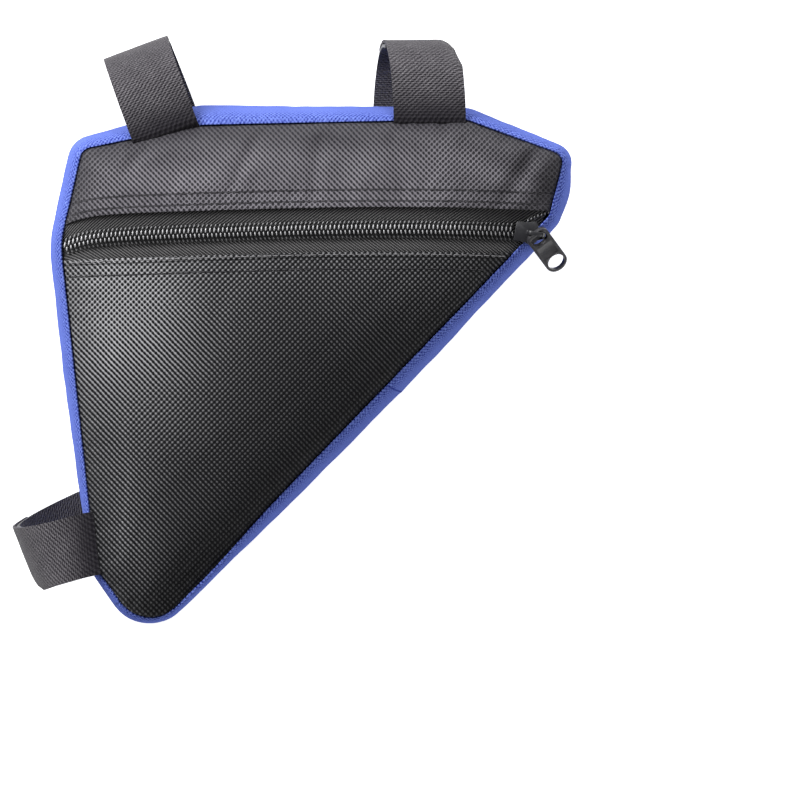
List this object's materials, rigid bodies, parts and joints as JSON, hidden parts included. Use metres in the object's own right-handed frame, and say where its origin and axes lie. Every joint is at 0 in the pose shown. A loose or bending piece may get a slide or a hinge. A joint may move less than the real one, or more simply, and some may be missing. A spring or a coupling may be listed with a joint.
{
  "type": "bicycle frame bag",
  "caption": "Soft triangular bag that hangs in a bicycle frame by strap loops, with a gusset all round, a zipped front panel and a swinging zip pull.",
  "frame": {"origin": "under the middle of the whole bag, on the surface that its back panel lies on", "axes": "+X along the top edge, +Y towards the top tube, +Z out of the zipped front panel"},
  "size_m": [0.2172, 0.226, 0.0556],
  "materials": {
    "black_oxford": "coarse woven oxford cloth, matte with a light sheen",
    "blue_oxford": "woven oxford cloth, matte",
    "zip_tape": "twill tape, matte",
    "zip_coil": "nylon coil, semi-gloss",
    "strap_tape": "napped hook-and-loop tape, matte",
    "slider_metal": "satin black paint",
    "pull_metal": "satin black paint"
  },
  "bodies": {
    "bag": {"front_panel_upper": "black_oxford", "front_panel_lower": "black_oxford", "back_panel": "black_oxford", "gusset": "blue_oxford", "zip_tape_upper": "zip_tape", "zip_tape_lower": "zip_tape", "zip_coil": "zip_coil", "zip_slider": "slider_metal", "strap_top_left_loop": "strap_tape", "strap_top_left_hook": "strap_tape", "strap_top_right_loop": "strap_tape", "strap_top_right_hook": "strap_tape", "strap_seat_tube_loop": "strap_tape", "strap_seat_tube_hook": "strap_tape"},
    "pull": {"zip_pull": "pull_metal"}
  },
  "joints": [
    {"name": "pull_swing", "type": "hinge", "parent": "bag", "child": "pull", "pos_m": [0.09431, 0.03729, 0.0501], "axis": [-0.7934, -0.6088, 0], "range_deg": [0, 130]}
  ]
}
